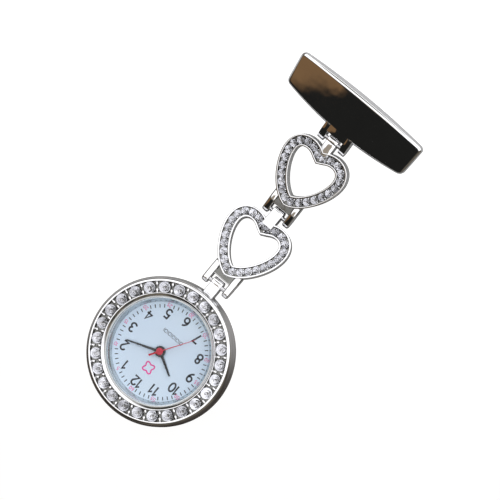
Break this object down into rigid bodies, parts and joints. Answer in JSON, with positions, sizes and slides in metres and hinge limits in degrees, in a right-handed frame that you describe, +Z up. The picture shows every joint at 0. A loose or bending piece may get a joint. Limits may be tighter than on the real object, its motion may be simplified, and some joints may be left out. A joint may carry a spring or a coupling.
{
  "type": "nurse fob watch",
  "caption": "Round quartz pendant watch with a stone-set bezel, hung upside down from two hinged open heart links and a bow-shaped pin brooch.",
  "frame": {"origin": "centre of the case back's outer face, where the watch rests", "axes": "+Z up through the hands' axis and out of the crystal, +Y along the chain towards the brooch, +X to the right of the chain; the dial's 12 is at -Y"},
  "size_m": [0.033, 0.0852, 0.01],
  "materials": {
    "chrome_plate": "bright polished",
    "brushed_steel": "fine brushed",
    "clear_stone": "facet cut, foil backed",
    "mineral_glass": "polished clear",
    "dial_paint": "satin",
    "rehaut_paint": "satin",
    "black_paint": "satin black",
    "red_paint": "satin red",
    "brass": "machined",
    "white_nylon": "moulded",
    "black_rubber": "matte",
    "green_board": "solder mask",
    "black_epoxy": "moulded",
    "copper_wire": "enamelled winding",
    "magnet_steel": "sintered"
  },
  "bodies": {
    "watch": {"case_body": "chrome_plate", "crown_tube": "brushed_steel", "case_back": "brushed_steel", "back_gasket": "black_rubber", "bezel": "chrome_plate", "bezel_stones": "clear_stone", "crystal": "mineral_glass", "crystal_gasket": "white_nylon", "rehaut_ring": "rehaut_paint", "dial": "dial_paint", "movement_holder": "white_nylon", "main_plate": "white_nylon", "train_bridge": "brushed_steel", "bridge_screw_1": "brushed_steel", "bridge_screw_2": "brushed_steel", "bridge_screw_3": "brushed_steel", "strap_screw": "brushed_steel", "stator": "brushed_steel", "coil_core": "brushed_steel", "coil": "copper_wire", "circuit_board": "green_board", "control_chip": "black_epoxy", "quartz_can": "brushed_steel", "battery": "brushed_steel", "battery_strap": "brushed_steel"},
    "minute_arbor": {"centre_wheel": "brass", "cannon_pinion": "brushed_steel", "minute_hand": "black_paint"},
    "hour_arbor": {"hour_wheel": "brass", "hour_hand": "black_paint"},
    "second_arbor": {"second_wheel": "brass", "second_hand": "red_paint"},
    "third_arbor": {"third_wheel": "brass"},
    "intermediate_arbor": {"intermediate_wheel": "brass"},
    "motor_rotor": {"rotor": "magnet_steel"},
    "motion_wheel": {"minute_wheel": "brass"},
    "crown_slide": {"setting_lever": "brushed_steel"},
    "winding_stem": {"stem": "brushed_steel", "clutch_pinion": "brushed_steel", "crown": "chrome_plate"},
    "lower_link": {"lower_heart_frame": "chrome_plate", "lower_heart_stones": "clear_stone", "lower_hinge_pin": "brushed_steel"},
    "upper_link": {"upper_heart_frame": "chrome_plate", "upper_heart_stones": "clear_stone", "middle_hinge_pin": "brushed_steel"},
    "brooch": {"brooch_plate": "chrome_plate", "upper_hinge_pin": "brushed_steel", "pin_base": "brushed_steel", "pin_rivet": "brushed_steel", "catch_housing": "brushed_steel"},
    "brooch_pin": {"pin_stem": "brushed_steel"},
    "safety_collar": {"catch_collar": "brushed_steel"}
  },
  "joints": [
    {"name": "minute_turn", "type": "hinge", "parent": "watch", "child": "minute_arbor", "pos_m": [0, 0, 0], "axis": [0, 0, -1], "continuous": true},
    {"name": "hour_turn", "type": "hinge", "parent": "watch", "child": "hour_arbor", "pos_m": [0, 0, 0], "axis": [0, 0, -1], "continuous": true},
    {"name": "second_turn", "type": "hinge", "parent": "watch", "child": "second_arbor", "pos_m": [0, 0, 0], "axis": [0, 0, -1], "continuous": true},
    {"name": "third_turn", "type": "hinge", "parent": "watch", "child": "third_arbor", "pos_m": [0, 0.0039, 0.002], "axis": [0, 0, -1], "continuous": true},
    {"name": "intermediate_turn", "type": "hinge", "parent": "watch", "child": "intermediate_arbor", "pos_m": [0.00279, -0.00279, 0.002], "axis": [0, 0, -1], "continuous": true},
    {"name": "rotor_turn", "type": "hinge", "parent": "watch", "child": "motor_rotor", "pos_m": [0.0034, -0.00505, 0.002], "axis": [0, 0, -1], "continuous": true},
    {"name": "motion_turn", "type": "hinge", "parent": "watch", "child": "motion_wheel", "pos_m": [-0.00301, -0.00109, 0.004], "axis": [0, 0, -1], "continuous": true},
    {"name": "crown_pull", "type": "slide", "parent": "watch", "child": "crown_slide", "axis": [-1, 0, 0], "range_m": [0, 0.0008]},
    {"name": "crown_turn", "type": "hinge", "parent": "crown_slide", "child": "winding_stem", "pos_m": [-0.015, 0, 0.0019], "axis": [-1, 0, 0], "continuous": true},
    {"name": "lower_hinge", "type": "hinge", "parent": "watch", "child": "lower_link", "pos_m": [0, 0.0185, 0.0036], "axis": [1, 0, 0], "range_deg": [-85, 85]},
    {"name": "middle_hinge", "type": "hinge", "parent": "lower_link", "child": "upper_link", "pos_m": [0, 0.03798, 0.0014], "axis": [1, 0, 0], "range_deg": [-85, 75]},
    {"name": "upper_hinge", "type": "hinge", "parent": "upper_link", "child": "brooch", "pos_m": [0, 0.05731, 0.0046], "axis": [1, 0, 0], "range_deg": [-80, 80]},
    {"name": "pin_swing", "type": "hinge", "parent": "brooch", "child": "brooch_pin", "pos_m": [-0.0125, 0.0659, 0.00147], "axis": [0, 0.9397, 0.342], "range_deg": [0, 75]},
    {"name": "collar_turn", "type": "hinge", "parent": "brooch", "child": "safety_collar", "pos_m": [0.0119, 0.0659, 0.00147], "axis": [1, 0, 0], "range_deg": [0, 110]}
  ],
  "couplings": [
    {"joint": "hour_turn", "follows": "minute_turn", "ratio": 0.083333},
    {"joint": "second_turn", "follows": "minute_turn", "ratio": 60},
    {"joint": "third_turn", "follows": "minute_turn", "ratio": -8},
    {"joint": "intermediate_turn", "follows": "minute_turn", "ratio": -360},
    {"joint": "rotor_turn", "follows": "minute_turn", "ratio": 1800},
    {"joint": "motion_turn", "follows": "minute_turn", "ratio": -0.33333}
  ]
}
